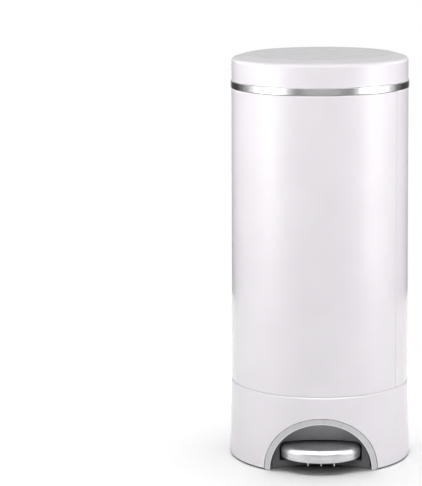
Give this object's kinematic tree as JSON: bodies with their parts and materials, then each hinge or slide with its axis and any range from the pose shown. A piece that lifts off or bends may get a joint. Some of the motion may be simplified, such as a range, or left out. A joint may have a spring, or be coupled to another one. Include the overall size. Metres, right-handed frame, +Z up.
{
  "type": "nappy bin",
  "caption": "Round step-open nappy bin with a hinged lid, metal trim band, swinging front door, arched pedal recess and sealing jaws over a film ring.",
  "frame": {"origin": "on the floor under the middle of the bin", "axes": "+Z up, the pedal faces -Y, +X to the bin's right as seen from the front"},
  "size_m": [0.2913, 0.303, 0.65],
  "materials": {
    "white_plastic": "gloss",
    "inner_plastic": "satin",
    "trim_plastic": "satin",
    "frame_plastic": "matte",
    "pedal_silver": "satin silver paint",
    "band_steel": "bright",
    "steel": "bright zinc",
    "rubber": "matte",
    "soft_seal": "matte",
    "ring_blue": "satin",
    "film": "soft sheen",
    "puck": "chalky"
  },
  "bodies": {
    "bin": {"base_shell": "white_plastic", "arch_liner": "trim_plastic", "foot_ring": "rubber", "base_plate": "frame_plastic", "base_screws": "steel", "floor_pan": "inner_plastic", "body_shell": "white_plastic", "door_seal": "soft_seal", "top_collar": "inner_plastic", "trim_band": "band_steel", "ring_holder": "inner_plastic", "film_ring": "ring_blue", "film_pack": "film", "rod_cover": "inner_plastic", "rod_guide": "frame_plastic", "return_spring": "steel", "hinge_housing": "white_plastic", "hinge_screws": "steel", "lid_hinge_pin": "steel", "door_pins": "steel", "pedal_axle": "steel", "latch_bracket": "frame_plastic", "latch_pin": "steel", "latch_spring": "steel"},
    "pedal": {"pedal_pad": "pedal_silver", "pedal_lever": "frame_plastic", "pedal_screws": "steel"},
    "rod": {"push_rod": "steel", "rod_fork": "frame_plastic", "rod_yoke": "frame_plastic"},
    "lid": {"lid_shell": "white_plastic", "lid_liner": "inner_plastic", "lid_gasket": "soft_seal", "lid_hinge": "frame_plastic", "lid_screws": "steel"},
    "puck": {"puck_cover": "ring_blue", "odour_puck": "puck"},
    "door": {"door_panel": "white_plastic", "door_catch": "frame_plastic"},
    "latch": {"latch_lever": "frame_plastic", "release_button": "trim_plastic"},
    "jaw_l": {"jaw_left": "inner_plastic", "lip_left": "soft_seal"},
    "jaw_r": {"jaw_right": "inner_plastic", "lip_right": "soft_seal"}
  },
  "joints": [
    {"name": "lid_hinge", "type": "hinge", "parent": "bin", "child": "lid", "pos_m": [0, 0.1435, 0.6129], "axis": [-1, 0, 0], "range_deg": [0, 75]},
    {"name": "pedal_hinge", "type": "hinge", "parent": "bin", "child": "pedal", "pos_m": [0, -0.06, 0.027], "axis": [1, 0, 0], "range_deg": [0, 8.36]},
    {"name": "rod_slide", "type": "slide", "parent": "bin", "child": "rod", "axis": [0, 0, 1], "range_m": [0, 0.0268], "stiffness_N_per_m": 150, "springref_m": -0.02, "deforming": ["return_spring"]},
    {"name": "jaw_left_hinge", "type": "hinge", "parent": "bin", "child": "jaw_l", "pos_m": [-0.066, 0, 0.541], "axis": [0, 1, 0], "range_deg": [0, 84.1]},
    {"name": "jaw_right_hinge", "type": "hinge", "parent": "bin", "child": "jaw_r", "pos_m": [0.066, 0, 0.541], "axis": [0, -1, 0], "range_deg": [0, 84.1]},
    {"name": "puck_twist", "type": "hinge", "parent": "lid", "child": "puck", "pos_m": [0, 0, 0.6], "axis": [0, 0, 1], "range_deg": [0, 75]},
    {"name": "door_hinge", "type": "hinge", "parent": "bin", "child": "door", "pos_m": [-0.13459, 0.01178, 0.36], "axis": [0, 0, -1], "range_deg": [0, 100]},
    {"name": "latch_hinge", "type": "hinge", "parent": "bin", "child": "latch", "pos_m": [0.08388, 0.09997, 0.358], "axis": [0, 0, -1], "range_deg": [0, 2.5], "stiffness_Nm_per_rad": 4, "springref_deg": -2.86, "deforming": ["latch_spring"]}
  ],
  "couplings": [
    {"joint": "pedal_hinge", "follows": "lid_hinge", "ratio": 0.11131},
    {"joint": "rod_slide", "follows": "lid_hinge", "m_per_rad": 0.020463},
    {"joint": "jaw_left_hinge", "follows": "lid_hinge", "ratio": 1.12},
    {"joint": "jaw_right_hinge", "follows": "lid_hinge", "ratio": 1.12}
  ]
}
